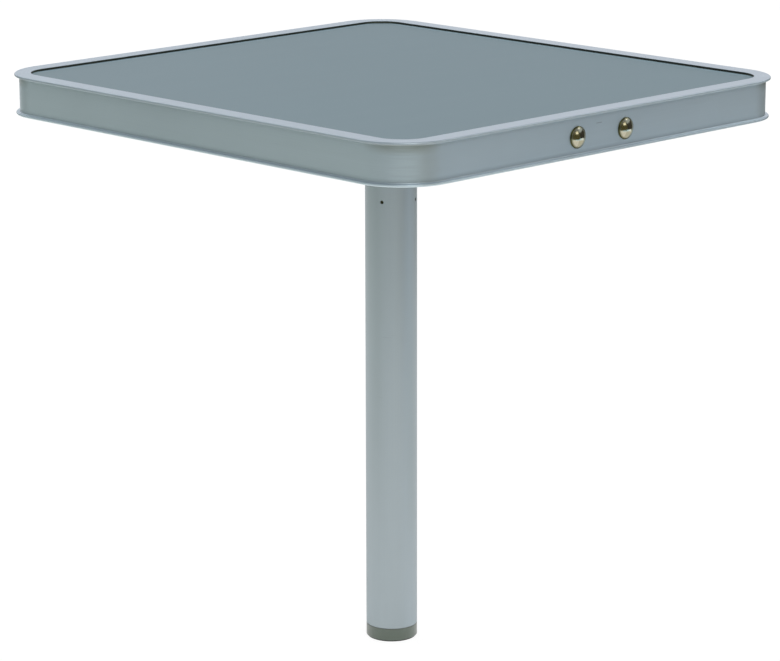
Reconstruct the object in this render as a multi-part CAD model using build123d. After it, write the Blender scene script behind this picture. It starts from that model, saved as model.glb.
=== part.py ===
"""Camping table: a framed top that turns and lifts off on one round leg with a screw foot.

The origin is on the floor, on the leg's axis. +Z is up, X runs along the shorter side of
the top and Y along the longer one. Lengths are millimetres. Inside the edge rail a place is
given by its inset, the distance inwards from the rail's outermost edge, and by its drop, the
distance down from the rail's upper face.
"""
import os

from build123d import *

# Overall sizes
table_height = 672.0
side_x = 625.0
side_y = 665.0
corner_r = 62.5
overrun = 5.0

# Edge rail, one extrusion bent round the panel
rail_height = 46.5
rim_width = 22.0
rim_corner_r = 33.0
rim_overhang = 5.4
nose_t = 2.8
base_setback = 1.2
web_t = 1.8
rim_fillet = 1.6
flange_t = 1.6
lip_t = 0.7
lip_width = 6.5
shelf_t = 1.4
shelf_width = 10.0
base_t = 2.0
base_width = 10.0

# Butt joint of the rail's two ends, closed by a riveted plate
seam_x = 150.0
seam_gap = 0.3
seam_plate_length = 72.0
seam_plate_height = 18.0
seam_plate_t = 2.0
rivet_r = 1.6
rivet_head_r = 3.2
rivet_head_h = 1.2
rivet_tail_r = 2.6
rivet_tail_h = 1.0
rivet_margin = 9.0
rivet_seam_margin = 10.0

# Panel, glued up from three layers, and the seal over its edge
panel_recess = 2.8
laminate_t = 0.8
core_t = 9.6
backing_t = 0.6
panel_clearance = 0.3
seal_clearance = 0.1
seal_setback = 0.5

# Two bearers under the panel, held at each end by a domed bolt
bearer_spacing = 76.6
bearer_pair_shift = -7.0
bearer_width = 25.0
bearer_height = 20.0
bearer_wall = 2.0
plug_length = 24.0
plug_clearance = 0.1
tape_width = 20.0
dome_r = 12.0
dome_h = 4.2
dome_rim_h = 0.8
dome_bolt_r = 4.0
dome_bolt_engagement = 20.0
thread_clearance = 0.03
bolt_hole_clearance = 0.3

# Spigot with its flange, bolted up under the bearers
spigot_flange_r = 75.0
spigot_flange_t = 6.0
spigot_wall = 3.5
spigot_end_drop = 160.0
spigot_chamfer = 1.5
flange_bolt_y = 45.0
flange_bolt_r = 3.0
flange_bolt_head_r = 5.2
flange_bolt_head_h = 2.0
flange_bolt_tip = 0.6
washer_r = 6.2
washer_t = 1.0
nut_across = 10.0
nut_h = 5.0

# Leg tube and the two guides that the spigot turns in
leg_r = 30.0
leg_wall = 1.5
leg_turn_deg = 25.0
running_clearance = 0.06
bush_flange_t = 2.0
bush_flange_setback = 0.4
bush_length = 40.0
bush_wall = 4.38
ring_drop = 143.6
ring_height = 16.0
ring_screw_r = 2.0
ring_screw_count = 4
ring_screw_recess = 0.8
ring_screw_gap = 0.3
ring_screw_socket_r = 1.1
ring_screw_socket_depth = 2.0

# Levelling foot
foot_gap = 0.6
cap_top = 15.6
cap_bottom = 1.5
cap_edge_r = 0.5
glide_setback = 1.5
glide_tread = 8.5
glide_hollow = 1.0
glide_step = 4.5
glide_h = 4.0
glide_clearance = 0.2
glide_boss_r = 5.0
glide_boss_h = 5.0
boss_end_gap = 0.2
stud_r = 8.0
stud_length = 32.0
stud_chamfer = 1.0
insert_length = 32.0
foot_travel = 12.0

# Heights and places that follow from the sizes above
top_z = table_height
web_out = rim_overhang
web_in = web_out + web_t
shelf_in = web_in + shelf_width
panel_t = laminate_t + core_t + backing_t
laminate_z = top_z - panel_recess
core_z = laminate_z - laminate_t
backing_z = core_z - core_t
panel_bottom_z = backing_z - backing_t
shelf_drop = panel_recess + panel_t
bearer_top_z = panel_bottom_z - shelf_t
bearer_bottom_z = bearer_top_z - bearer_height
bearer_mid_z = bearer_top_z - bearer_height / 2
bearer_xs = [bearer_pair_shift + side * bearer_spacing / 2 for side in (-1, 1)]
bearer_end_y = side_y / 2 - web_in
flange_bottom_z = bearer_bottom_z - spigot_flange_t
leg_top_z = flange_bottom_z - bush_flange_t
leg_bottom_z = cap_top + foot_gap
leg_bore_r = leg_r - leg_wall
spigot_r = leg_bore_r - bush_wall - 2 * running_clearance
glide_r = leg_r - glide_setback
ring_z = top_z - ring_drop
stud_bottom_z = glide_h + glide_boss_h


def section():
    """Section of the edge rail in its own plane: X is the inset, Y is minus the drop."""
    round_r = nose_t / 2
    base_drop = rail_height - nose_t
    base_start = base_setback + round_r
    with BuildSketch() as sketch:
        with BuildLine():
            Line((rim_width, 0), (round_r, 0))
            ThreePointArc((round_r, 0), (0, -round_r), (round_r, -nose_t))
            Line((round_r, -nose_t), (web_out - rim_fillet, -nose_t))
            RadiusArc(
                (web_out - rim_fillet, -nose_t), (web_out, -nose_t - rim_fillet), rim_fillet
            )
            Line((web_out, -nose_t - rim_fillet), (web_out, -base_drop + rim_fillet))
            RadiusArc(
                (web_out, -base_drop + rim_fillet), (web_out - rim_fillet, -base_drop), rim_fillet
            )
            Line((web_out - rim_fillet, -base_drop), (base_start, -base_drop))
            ThreePointArc(
                (base_start, -base_drop),
                (base_setback, -base_drop - round_r),
                (base_start, -rail_height),
            )
            Polyline(
                (base_start, -rail_height),
                (web_in + base_width, -rail_height),
                (web_in + base_width, -rail_height + base_t),
                (web_in, -rail_height + base_t),
                (web_in, -shelf_drop - shelf_t),
                (shelf_in, -shelf_drop - shelf_t),
                (shelf_in, -shelf_drop),
                (web_in, -shelf_drop),
                (web_in, -flange_t),
                (rim_width - lip_width, -flange_t),
                (rim_width - lip_width, -lip_t),
                (rim_width, -lip_t),
                (rim_width, 0),
            )
        make_face()
    return sketch.sketch


def upright(x, y):
    """Plane of the rail's section at the start of a run along +X, with insets along +Y."""
    return Plane(origin=(x, y, top_z), x_dir=(0, 1, 0), z_dir=(1, 0, 0))


def frame_rail():
    """Four straight runs and four bent corners, cut through once at the seam."""
    halves = (side_x / 2, side_y / 2)
    outline = section()
    ring = None
    for quarter in range(4):
        run = halves[quarter % 2] - corner_r
        edge = halves[(quarter + 1) % 2]
        bar = extrude(upright(-run, -edge) * outline, amount=2 * run)
        bend_axis = Axis((run, -edge + corner_r, 0), (0, 0, 1))
        bend = revolve(upright(run, -edge) * outline, axis=bend_axis, revolution_arc=90)
        piece = Rot(0, 0, 90 * quarter) * (bar + bend)
        ring = piece if ring is None else ring + piece
    ring -= rounded_plate(rim_width, top_z - flange_t, top_z + overrun, rim_corner_r)
    seam = Pos(seam_x, side_y / 2, top_z) * Box(
        seam_gap, 2 * (rim_width + overrun), 2 * (rail_height + overrun)
    )
    ring -= seam
    for end in (-1, 1):
        for x in bearer_xs:
            ring -= across_y(x, end * side_y / 2, bearer_mid_z) * Cylinder(
                dome_bolt_r + bolt_hole_clearance, 2 * (web_in + overrun)
            )
    for x, z in rivet_places():
        ring -= across_y(x, side_y / 2, z) * Cylinder(rivet_r, 2 * (web_in + overrun))
    return ring


def across_y(x, y, z):
    """Location whose own Z axis runs along +Y."""
    return Pos(x, y, z) * Rot(-90, 0, 0)


def rivet_places():
    """X and Z of each rivet of the seam plate."""
    far = seam_plate_length / 2 - rivet_margin
    z = seam_plate_z()
    return [(seam_x + side * step, z) for side in (-1, 1) for step in (rivet_seam_margin, far)]


def seam_plate_z():
    """Height of the seam plate's middle, halfway between the shelf and the base flange."""
    return top_z - (shelf_drop + shelf_t + rail_height - base_t) / 2


def seam_plate():
    """Flat plate against the inside of the web, behind the seam."""
    mid_y = side_y / 2 - web_in - seam_plate_t / 2
    plate = Pos(seam_x, mid_y, seam_plate_z()) * Box(
        seam_plate_length, seam_plate_t, seam_plate_height
    )
    for x, z in rivet_places():
        plate -= across_y(x, mid_y, z) * Cylinder(rivet_r, seam_plate_t + 2 * overrun)
    return plate


def seam_rivets():
    """Four domed rivets through the web and the plate."""
    outer_y = side_y / 2 - web_out
    grip = web_t + seam_plate_t
    rivets = []
    for x, z in rivet_places():
        shank = Cylinder(rivet_r, grip, align=(Align.CENTER, Align.CENTER, Align.MAX))
        head = low_dome(rivet_head_r, rivet_head_h)
        tail = Pos(0, 0, -grip - rivet_tail_h / 2) * Cylinder(rivet_tail_r, rivet_tail_h)
        rivets.append(across_y(x, outer_y, z) * (shank + head + tail))
    return rivets


def low_dome(base_r, height, rim_h=0.0):
    """Spherical cap on a straight rim, standing on z = 0."""
    with BuildSketch(Plane.XZ) as sketch:
        with BuildLine():
            Line((0, rim_h + height), (0, 0))
            Line((0, 0), (base_r, 0))
            if rim_h > 0:
                Line((base_r, 0), (base_r, rim_h))
            sphere_r = (base_r**2 + height**2) / (2 * height)
            RadiusArc((base_r, rim_h), (0, rim_h + height), -sphere_r)
        make_face()
    return revolve(sketch.sketch, axis=Axis.Z)


def rounded_plate(inset, z_low, z_high, radius=None):
    """Plate at an inset from the table's outline, between two heights.

    Its corners are concentric with the outline's unless they get a radius of their own.
    """
    if radius is None:
        radius = corner_r - inset
    outline = RectangleRounded(side_x - 2 * inset, side_y - 2 * inset, radius)
    return Pos(0, 0, z_low) * extrude(outline, amount=z_high - z_low)


def panel_layer(z_low, z_high):
    """One layer of the panel."""
    return rounded_plate(web_in + panel_clearance, z_low, z_high)


def panel_seal():
    """Stepped dark strip that fills the space between the rim and the panel's edge."""
    outer = rounded_plate(web_in + panel_clearance, laminate_z, top_z - flange_t)
    inner = rounded_plate(rim_width - lip_width + seal_clearance, laminate_z, top_z - lip_t)
    opening = rounded_plate(
        rim_width - seal_setback, laminate_z - overrun, top_z + overrun, rim_corner_r + seal_setback
    )
    return outer + inner - opening


def bearer(x):
    """Rectangular tube under the panel, from one long web to the other."""
    body = Box(bearer_width, 2 * bearer_end_y, bearer_height)
    body -= Box(
        bearer_width - 2 * bearer_wall,
        2 * (bearer_end_y + overrun),
        bearer_height - 2 * bearer_wall,
    )
    body = Pos(x, 0, bearer_mid_z) * body
    for side in (-1, 1):
        hole = Cylinder(flange_bolt_r + bolt_hole_clearance, 2 * (bearer_wall + overrun))
        body -= Pos(x, side * flange_bolt_y, bearer_bottom_z - overrun) * hole
    return body


def bearer_tapes():
    """Foam tape between each bearer and the panel."""
    length = 2 * (side_y / 2 - shelf_in)
    mid_z = bearer_top_z + shelf_t / 2
    return [Pos(x, 0, mid_z) * Box(tape_width, length, shelf_t) for x in bearer_xs]


def bearer_plugs():
    """Tapped block in each end of each bearer."""
    plugs = []
    for x in bearer_xs:
        for end in (-1, 1):
            block = Box(
                bearer_width - 2 * (bearer_wall + plug_clearance),
                plug_length,
                bearer_height - 2 * (bearer_wall + plug_clearance),
            )
            block -= Rot(90, 0, 0) * Cylinder(
                dome_bolt_r + thread_clearance, plug_length + 2 * overrun
            )
            plugs.append(Pos(x, end * (bearer_end_y - plug_length / 2), bearer_mid_z) * block)
    return plugs


def dome_bolts(end):
    """Two domed bolts through the web at one end of the bearers, end being -1 or 1."""
    head = low_dome(dome_r, dome_h, dome_rim_h)
    shank = Cylinder(
        dome_bolt_r,
        web_t + dome_bolt_engagement,
        align=(Align.CENTER, Align.CENTER, Align.MAX),
    )
    outer_y = end * (side_y / 2 - web_out)
    return [
        Pos(x, outer_y, bearer_mid_z) * Rot(-90 * end, 0, 0) * (head + shank) for x in bearer_xs
    ]


def flange_bolt_places():
    """X and Y of the bolts that hold the flange to the bearers."""
    return [(x, side * flange_bolt_y) for x in bearer_xs for side in (-1, 1)]


def spigot_flange():
    """Round flange and the hollow spigot below it, cast in one piece."""
    spigot_end_z = top_z - spigot_end_drop
    with BuildSketch(Plane.XZ) as sketch:
        with BuildLine():
            Polyline(
                (0, bearer_bottom_z),
                (spigot_flange_r, bearer_bottom_z),
                (spigot_flange_r, flange_bottom_z),
                (spigot_r, flange_bottom_z),
                (spigot_r, spigot_end_z + spigot_chamfer),
                (spigot_r - spigot_chamfer, spigot_end_z),
                (spigot_r - spigot_wall, spigot_end_z),
                (spigot_r - spigot_wall, flange_bottom_z),
                (0, flange_bottom_z),
                (0, bearer_bottom_z),
            )
        make_face()
    body = revolve(sketch.sketch, axis=Axis.Z)
    for x, y in flange_bolt_places():
        body -= Pos(x, y, flange_bottom_z) * Cylinder(
            flange_bolt_r + bolt_hole_clearance, 2 * (spigot_flange_t + overrun)
        )
    return body


def flange_bolts():
    """Low domed bolts, put in from below through washer, flange, bearer and nut."""
    length = washer_t + spigot_flange_t + bearer_wall + nut_h + flange_bolt_tip
    head_z = flange_bottom_z - washer_t
    shank = Cylinder(flange_bolt_r, length, align=(Align.CENTER, Align.CENTER, Align.MIN))
    head = Rot(180, 0, 0) * low_dome(flange_bolt_head_r, flange_bolt_head_h)
    return [Pos(x, y, head_z) * (shank + head) for x, y in flange_bolt_places()]


def flange_washers():
    """Plain washer under each flange bolt's head."""
    washer = Cylinder(washer_r, washer_t) - Cylinder(
        flange_bolt_r + bolt_hole_clearance, washer_t + 2 * overrun
    )
    return [Pos(x, y, flange_bottom_z - washer_t / 2) * washer for x, y in flange_bolt_places()]


def bearer_nuts():
    """Hexagon nut on the inside of the bearer for each flange bolt."""
    hexagon = extrude(RegularPolygon(nut_across / 2, 6, major_radius=False), amount=nut_h)
    nut = hexagon - Cylinder(flange_bolt_r + thread_clearance, 2 * (nut_h + overrun))
    return [Pos(x, y, bearer_bottom_z + bearer_wall) * nut for x, y in flange_bolt_places()]


def tube(outer_r, inner_r, z_low, z_high):
    """Plain round tube on the leg's axis."""
    length = z_high - z_low
    wall = Cylinder(outer_r, length) - Cylinder(inner_r, length + 2 * overrun)
    return Pos(0, 0, (z_low + z_high) / 2) * wall


def collar_bush():
    """Flanged plastic bush in the top of the leg, which the top turns and lifts on."""
    inner_r = spigot_r + running_clearance
    sleeve_r = leg_bore_r - running_clearance
    sleeve = tube(sleeve_r, inner_r, leg_top_z - bush_length, leg_top_z)
    return sleeve + tube(leg_r - bush_flange_setback, inner_r, leg_top_z, flange_bottom_z)


def around_leg(shape):
    """Copies of a shape that lies along +X, turned to the leg's screw places."""
    step = 360 / ring_screw_count
    return [Rot(0, 0, leg_turn_deg + step * k) * shape for k in range(ring_screw_count)]


def across_x(x, z):
    """Location whose own Z axis runs along +X."""
    return Pos(x, 0, z) * Rot(0, 90, 0)


def leg_tube():
    """Round tube with one small hole for each ring screw."""
    body = tube(leg_r, leg_bore_r, leg_bottom_z, leg_top_z)
    hole = across_x(leg_r, ring_z) * Cylinder(
        ring_screw_r + thread_clearance, 2 * (leg_wall + overrun)
    )
    for cut in around_leg(hole):
        body -= cut
    return body


def guide_ring():
    """Ring fixed in the bore, which steadies the spigot's lower end."""
    outer_r = leg_bore_r - running_clearance
    inner_r = spigot_r + running_clearance
    body = tube(outer_r, inner_r, ring_z - ring_height / 2, ring_z + ring_height / 2)
    hole = across_x(leg_r, ring_z) * Cylinder(
        ring_screw_r + thread_clearance, 2 * (leg_r - inner_r + overrun)
    )
    for cut in around_leg(hole):
        body -= cut
    return body


def ring_screws():
    """Grub screws that hold the guide ring, their ends just below the tube's surface."""
    tip_x = spigot_r + ring_screw_gap
    end_x = leg_r - ring_screw_recess
    screw = across_x((tip_x + end_x) / 2, ring_z) * Cylinder(ring_screw_r, end_x - tip_x)
    socket = across_x(end_x, ring_z) * Cylinder(ring_screw_socket_r, 2 * ring_screw_socket_depth)
    return around_leg(screw - socket)


def foot_insert():
    """Threaded plug in the bottom of the leg tube."""
    return tube(
        leg_bore_r - running_clearance,
        stud_r + running_clearance,
        leg_bottom_z,
        leg_bottom_z + insert_length,
    )


def foot_cap():
    """Round foot under the tube, with a fine lower edge and a recess for the glide's step."""
    body = Pos(0, 0, (cap_bottom + cap_top) / 2) * Cylinder(leg_r, cap_top - cap_bottom)
    body = fillet(body.edges().group_by(Axis.Z)[0], cap_edge_r)
    recess_r = glide_r - glide_step + glide_clearance
    body -= Pos(0, 0, glide_h / 2) * Cylinder(recess_r, glide_h)
    body -= Cylinder(glide_boss_r + running_clearance, 2 * (cap_top + overrun))
    stud_hole = Cylinder(stud_r, cap_top, align=(Align.CENTER, Align.CENTER, Align.MIN))
    body -= Pos(0, 0, stud_bottom_z) * stud_hole
    return body


def foot_stud():
    """Screw of the foot, fixed in the cap and turning in the plug above it."""
    body = Pos(0, 0, stud_bottom_z + stud_length / 2) * Cylinder(stud_r, stud_length)
    return chamfer(body.edges().group_by(Axis.Z)[-1], stud_chamfer)


def foot_glide():
    """Soft sole on a ring tread that stays still while the foot turns on its boss."""
    upright = (Align.CENTER, Align.CENTER, Align.MIN)
    sole = Cylinder(glide_r, cap_bottom, align=upright)
    step = Cylinder(glide_r - glide_step, glide_h, align=upright)
    boss = Cylinder(glide_boss_r, glide_boss_h - boss_end_gap, align=upright)
    hollow = Cylinder(glide_r - glide_tread, glide_hollow, align=upright)
    return sole + step + Pos(0, 0, glide_h) * boss - hollow


def write(name, shape):
    """Write one node, given as one solid or as a list of separate ones."""
    if isinstance(shape, list):
        shape = Compound(children=shape)
    export_step(shape, f"parts/{name}.step")


def main():
    assert foot_travel < stud_bottom_z + stud_length - leg_bottom_z
    os.makedirs("parts", exist_ok=True)
    write("frame_rail", frame_rail())
    write("seam_plate", seam_plate())
    write("seam_rivets", seam_rivets())
    write("panel_laminate", panel_layer(core_z, laminate_z))
    write("panel_core", panel_layer(backing_z, core_z))
    write("panel_backing", panel_layer(panel_bottom_z, backing_z))
    write("panel_seal", panel_seal())
    write("bearer_left", bearer(bearer_xs[0]))
    write("bearer_right", bearer(bearer_xs[1]))
    write("bearer_tapes", bearer_tapes())
    write("bearer_plugs", bearer_plugs())
    write("dome_bolts_front", dome_bolts(-1))
    write("dome_bolts_back", dome_bolts(1))
    write("spigot_flange", spigot_flange())
    write("flange_bolts", flange_bolts())
    write("flange_washers", flange_washers())
    write("bearer_nuts", bearer_nuts())
    write("collar_bush", collar_bush())
    write("leg_tube", leg_tube())
    write("guide_ring", guide_ring())
    write("ring_screws", ring_screws())
    write("foot_insert", foot_insert())
    write("foot_cap", foot_cap())
    write("foot_stud", foot_stud())
    write("foot_glide", foot_glide())


if __name__ == "__main__":
    main()
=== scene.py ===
"""Camping table on one round leg: its surfaces, finishes, studio and camera.

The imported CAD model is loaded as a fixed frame. Pieces that show get finer surfaces here, and
the other CAD nodes get a finish. Lengths are metres in the frame of the part: the origin is
on the floor on the leg's axis, +Z is up and the domed bolts are on the -Y and +Y sides.
"""
import math

import bmesh
import bpy
import numpy as np
from bpy.props import FloatProperty, FloatVectorProperty, PointerProperty
from mathutils import Matrix, Vector


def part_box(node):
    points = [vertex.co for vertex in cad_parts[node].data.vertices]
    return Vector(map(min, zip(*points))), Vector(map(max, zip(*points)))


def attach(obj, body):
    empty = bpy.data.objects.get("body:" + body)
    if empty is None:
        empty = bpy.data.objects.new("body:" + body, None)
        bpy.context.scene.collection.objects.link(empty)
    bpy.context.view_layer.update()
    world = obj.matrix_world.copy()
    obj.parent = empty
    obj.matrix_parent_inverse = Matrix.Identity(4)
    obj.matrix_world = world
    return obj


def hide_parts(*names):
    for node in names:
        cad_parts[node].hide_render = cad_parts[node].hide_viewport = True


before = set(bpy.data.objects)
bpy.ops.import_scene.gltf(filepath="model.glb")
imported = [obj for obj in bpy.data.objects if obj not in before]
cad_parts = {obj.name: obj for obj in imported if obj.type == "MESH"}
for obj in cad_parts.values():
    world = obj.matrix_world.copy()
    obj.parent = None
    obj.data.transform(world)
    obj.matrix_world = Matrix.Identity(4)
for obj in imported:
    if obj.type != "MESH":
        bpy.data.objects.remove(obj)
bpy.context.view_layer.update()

bl_info = {
    "name": "Camping table",
    "version": (1, 0, 0),
    "blender": (4, 5, 0),
    "location": "3D View > Sidebar > Camping table",
    "description": "Surfaces, finishes and studio of a camping table with one round leg",
    "category": "Object",
}

MM = 0.001
PREFIX = "camp_table"
BEARERS = ("bearer_left", "bearer_right")

# How finely the surfaces are divided
SIDE_POINTS = 25
CORNER_POINTS = 42
DOME_POINTS = 28
CARD_POINTS = 32
THREAD_SEGMENTS = 64
THREAD_ROWS_PER_TURN = 14

# Edges with a larger angle stay sharp
SHARP_DEG = 38.0


def length(name, description, default):
    """A size in metres."""
    return FloatProperty(
        name=name, description=description, default=default, unit="LENGTH", precision=5
    )


def number(name, description, default):
    """A plain number, such as an angle in degrees."""
    return FloatProperty(name=name, description=description, default=default)


def colour(name, description, default):
    """A linear colour."""
    return FloatVectorProperty(
        name=name, description=description, default=default, size=3, min=0, max=1, subtype="COLOR"
    )


class TableSizes(bpy.types.PropertyGroup):
    """Sizes of the table's sections that its boxes don't give."""

    corner_radius: length("Corner radius", "Radius of the rail's outer corners", 62.5 * MM)
    rim_width: length("Rim width", "Width of the rail's flat upper rim", 22 * MM)
    rim_corner: length("Rim corner", "Radius of the rim's inner corners", 33 * MM)
    rim_overhang: length("Rim overhang", "How far the rim stands out over the web", 5.4 * MM)
    nose: length("Nose thickness", "Thickness of the rim's rounded edge", 2.8 * MM)
    base_setback: length("Base setback", "How far the lower rim lies inside the upper", 1.2 * MM)
    web: length("Web thickness", "Wall of the upright web", 1.8 * MM)
    web_fillet: length("Web fillet", "Radius between web and rims", 1.6 * MM)
    flange: length("Flange thickness", "Thickness of the upper rim over the panel", 1.6 * MM)
    lip: length("Lip thickness", "Thickness of the rim's inner lip", 0.7 * MM)
    lip_width: length("Lip width", "Width of the rim's inner lip", 6.5 * MM)
    shelf_width: length("Shelf width", "Width of the shelf under the panel", 10 * MM)
    shelf: length("Shelf thickness", "Thickness of the shelf under the panel", 1.4 * MM)
    base: length("Base thickness", "Thickness of the inner base flange", 2 * MM)
    base_width: length("Base width", "Width of the inner base flange", 10 * MM)
    panel_recess: length("Panel recess", "Depth of the panel below the rim", 2.8 * MM)
    panel: length("Panel thickness", "Thickness of the whole panel", 11 * MM)
    seam_place: length("Seam place", "Place of the rail's seam along the back", 150 * MM)
    seam_gap: length("Seam gap", "Gap between the rail's two ends", 0.3 * MM)
    bearer_wall: length("Bearer wall", "Wall of the bearers", 2 * MM)
    dome_height: length("Dome height", "Height of a bolt's dome above its rim", 4.2 * MM)
    dome_rim: length("Dome rim", "Straight rim below a bolt's dome", 0.8 * MM)
    dome_shank: length("Dome shank", "Radius of a domed bolt's shank", 4 * MM)
    spigot: length("Spigot", "Radius of the spigot", 24 * MM)
    spigot_wall: length("Spigot wall", "Wall of the spigot", 3.5 * MM)
    spigot_chamfer: length("Spigot chamfer", "Chamfer of the spigot's lower end", 1.5 * MM)
    clearance: length("Clearance", "Between parts that turn in each other", 0.06 * MM)
    leg_wall: length("Leg wall", "Wall of the leg tube", 1.5 * MM)
    leg_turn: number("Leg turn", "Angle of the first of four screws from +X, in degrees", 25.0)
    screw_radius: length("Screw radius", "Radius of the screws in the leg", 2 * MM)
    sole_step: length("Sole step", "Step from the sole's edge to its inner disc", 4.5 * MM)
    sole_step_height: length("Sole step height", "Height of the sole's inner disc", 4 * MM)
    sole_boss: length("Sole boss", "Radius of the boss that the foot turns on", 5 * MM)
    sole_tread: length("Sole tread", "Width of the ring that the foot stands on", 8.5 * MM)
    sole_hollow: length("Sole hollow", "Depth of the hollow inside that ring", 1 * MM)
    thread_pitch: length("Thread pitch", "Rise of the foot's thread in one turn", 2 * MM)
    thread_depth: length("Thread depth", "Depth of the foot's thread", 1.1 * MM)


class TableColours(bpy.types.PropertyGroup):
    """Base colours of the table's finishes, of their dust and of painted shade."""

    rail: colour("Rail", "Satin anodised rail", (0.64, 0.735, 0.785))
    leg: colour("Leg", "Satin anodised leg", (0.555, 0.627, 0.66))
    panel: colour("Panel", "Matt face of the panel", (0.201, 0.289, 0.328))
    backing: colour("Backing", "Sheet under the panel", (0.42, 0.43, 0.42))
    seal: colour("Seal", "Rubber seal", (0.014, 0.017, 0.008))
    dust: colour("Dust", "Dust in the seal's corners", (0.19, 0.21, 0.15))
    nickel: colour("Nickel", "Domed bolts", (0.70, 0.66, 0.50))
    # Painted shade round the rim of the domed bolts
    dome_edge_shade: colour("Tarnish", "Rim of the domed bolts", (0.065, 0.07, 0.015))
    cast: colour("Cast metal", "Flange and spigot", (0.5, 0.51, 0.51))
    mill: colour("Mill metal", "Bearers and seam plate", (0.56, 0.57, 0.57))
    zinc: colour("Zinc", "Bolts, nuts, washers and stud", (0.5, 0.5, 0.48))
    warm_zinc: colour("Warm zinc", "Warm cloud on the zinc", (0.56, 0.54, 0.44))
    dark_steel: colour("Dark steel", "Screws in the leg", (0.10, 0.10, 0.055))
    nylon: colour("Nylon", "Bush, ring and plug", (0.03, 0.032, 0.032))
    foot: colour("Foot", "Moulded foot", (0.15, 0.185, 0.15))
    sole: colour("Sole", "Rubber sole", (0.03, 0.033, 0.03))
    wood: colour("Wood", "Core of the panel", (0.45, 0.31, 0.18))
    # Painted shade on the web under the rim in the rail's bends
    bend_shade: colour("Stain", "Oxide in the rail's bends", (0.33, 0.35, 0.27))
    shadow: colour("Shadow", "Dark line on the rim's inner lip", (0.06, 0.075, 0.04))


class StudioSettings(bpy.types.PropertyGroup):
    """Place, aim and lens of the camera."""

    azimuth: number("Azimuth", "Camera's turn from the -Y side, in degrees", -44.63)
    elevation: number("Elevation", "Camera's height angle, in degrees", 13.9)
    distance: length("Distance", "From the camera to the point it looks at", 3.6825)
    aim_height: length("Aim height", "Height of that point on the leg's axis", 0.371)
    aim_side: length("Aim side", "Sideways shift of that point", -0.0015)
    lens: number("Lens", "Focal length in millimetres", 146.46)
    roll: number("Roll", "Turn about the view axis, in degrees", -0.105)


def sizes():
    """The size settings."""
    return bpy.context.scene.camp_table_sizes


def colours():
    """The colour settings."""
    return bpy.context.scene.camp_table_colours


class Wire:
    """A shader value. Arithmetic on it adds Math nodes to its graph."""

    def __init__(self, graph, socket):
        self.graph = graph
        self.socket = socket

    def __add__(self, other):
        return self.graph.math("ADD", self, other)

    def __radd__(self, other):
        return self.graph.math("ADD", other, self)

    def __sub__(self, other):
        return self.graph.math("SUBTRACT", self, other)

    def __rsub__(self, other):
        return self.graph.math("SUBTRACT", other, self)

    def __mul__(self, other):
        return self.graph.math("MULTIPLY", self, other)

    def __rmul__(self, other):
        return self.graph.math("MULTIPLY", other, self)


class Graph:
    """The nodes of one material or world."""

    def __init__(self, owner):
        owner.use_nodes = True
        self.owner = owner
        self.tree = owner.node_tree
        self.tree.nodes.clear()

    def node(self, kind, settings=None, inputs=None):
        """A node of a type, its settings made first and then its sockets."""
        made = self.tree.nodes.new("ShaderNode" + kind)
        for key, value in (settings or {}).items():
            setattr(made, key, value)
        for key, value in (inputs or {}).items():
            socket = made.inputs[key]
            if isinstance(value, Wire):
                self.tree.links.new(value.socket, socket)
            else:
                socket.default_value = value
        return made

    def out(self, node, name=0):
        """One output of a node as a value."""
        return Wire(self, node.outputs[name])

    def math(self, operation, *values):
        """A Math node."""
        settings = {"operation": operation}
        return self.out(self.node("Math", settings, dict(enumerate(values))))

    def place(self, scale=(1, 1, 1), uv=False, turn=(0, 0, 0)):
        """Object coordinates, or the piece's own map, scaled and turned."""
        source = self.out(self.node("TexCoord"), "UV" if uv else "Object")
        inputs = {"Vector": source, "Scale": scale, "Rotation": turn}
        return self.out(self.node("Mapping", None, inputs))

    def position(self):
        """X, Y and Z of the object coordinates."""
        place = self.node("SeparateXYZ", None, {"Vector": self.place()})
        return [self.out(place, axis) for axis in "XYZ"]

    def attribute(self, name):
        """A number that the piece carries at its points."""
        return self.out(self.node("Attribute", {"attribute_name": name}), "Fac")

    def noise(self, place, scale, detail=3.0, rough=0.5):
        """Noise from 0 to 1."""
        inputs = {"Vector": place, "Scale": scale, "Detail": detail, "Roughness": rough}
        return self.out(self.node("TexNoise", None, inputs), "Fac")

    def ramp(self, value, low, high):
        """Zero at the low end of a range and one at its high end, and held there beyond."""
        inputs = {"Value": value, "From Min": low, "From Max": high}
        return self.out(self.node("MapRange", {"clamp": True}, inputs))

    def band(self, value, start, full, last_full, end):
        """Zero up to a start, one between the two full places, and zero again from an end."""
        return self.ramp(value, start, full) * self.ramp(value, end, last_full)

    def mix(self, factor, first, second):
        """A colour between two. The numbers are those of the Mix node's colour sockets."""
        sockets = {0: factor, 6: as_rgba(first), 7: as_rgba(second)}
        return self.out(self.node("Mix", {"data_type": "RGBA"}, sockets), 2)

    def tones(self, factor, base, dark, light):
        """A colour between a darker and a lighter shade of a base."""
        return self.mix(factor, shade(base, dark), shade(base, light))

    def bump(self, height, strength, distance):
        """A normal from a height."""
        inputs = {"Height": height, "Strength": strength, "Distance": distance}
        return self.out(self.node("Bump", None, inputs))

    def seen_by(self, *rays):
        """One for any of these kinds of ray, and zero for the others."""
        path = self.node("LightPath")
        seen = self.out(path, rays[0])
        for ray in rays[1:]:
            seen = self.math("MAXIMUM", seen, self.out(path, ray))
        return seen

    def surface(self, shader, kind="Material"):
        """The output node. It gives back what the graph belongs to."""
        self.node("Output" + kind, None, {"Surface": shader})
        return self.owner

    def finish(self, **sockets):
        """The surface shader and the output. Underscores in names stand for spaces."""
        inputs = {key.replace("_", " "): value for key, value in sockets.items()}
        inputs["Base Color"] = as_rgba(inputs["Base Color"])
        return self.surface(self.out(self.node("BsdfPrincipled", None, inputs)))


def material_graph(name):
    """The empty graph of a new material."""
    return Graph(bpy.data.materials.new(name))


def as_rgba(value):
    """A colour with its fourth number, or a value as it is."""
    if isinstance(value, Wire):
        return value
    return (*tuple(value)[:3], 1.0)


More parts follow.
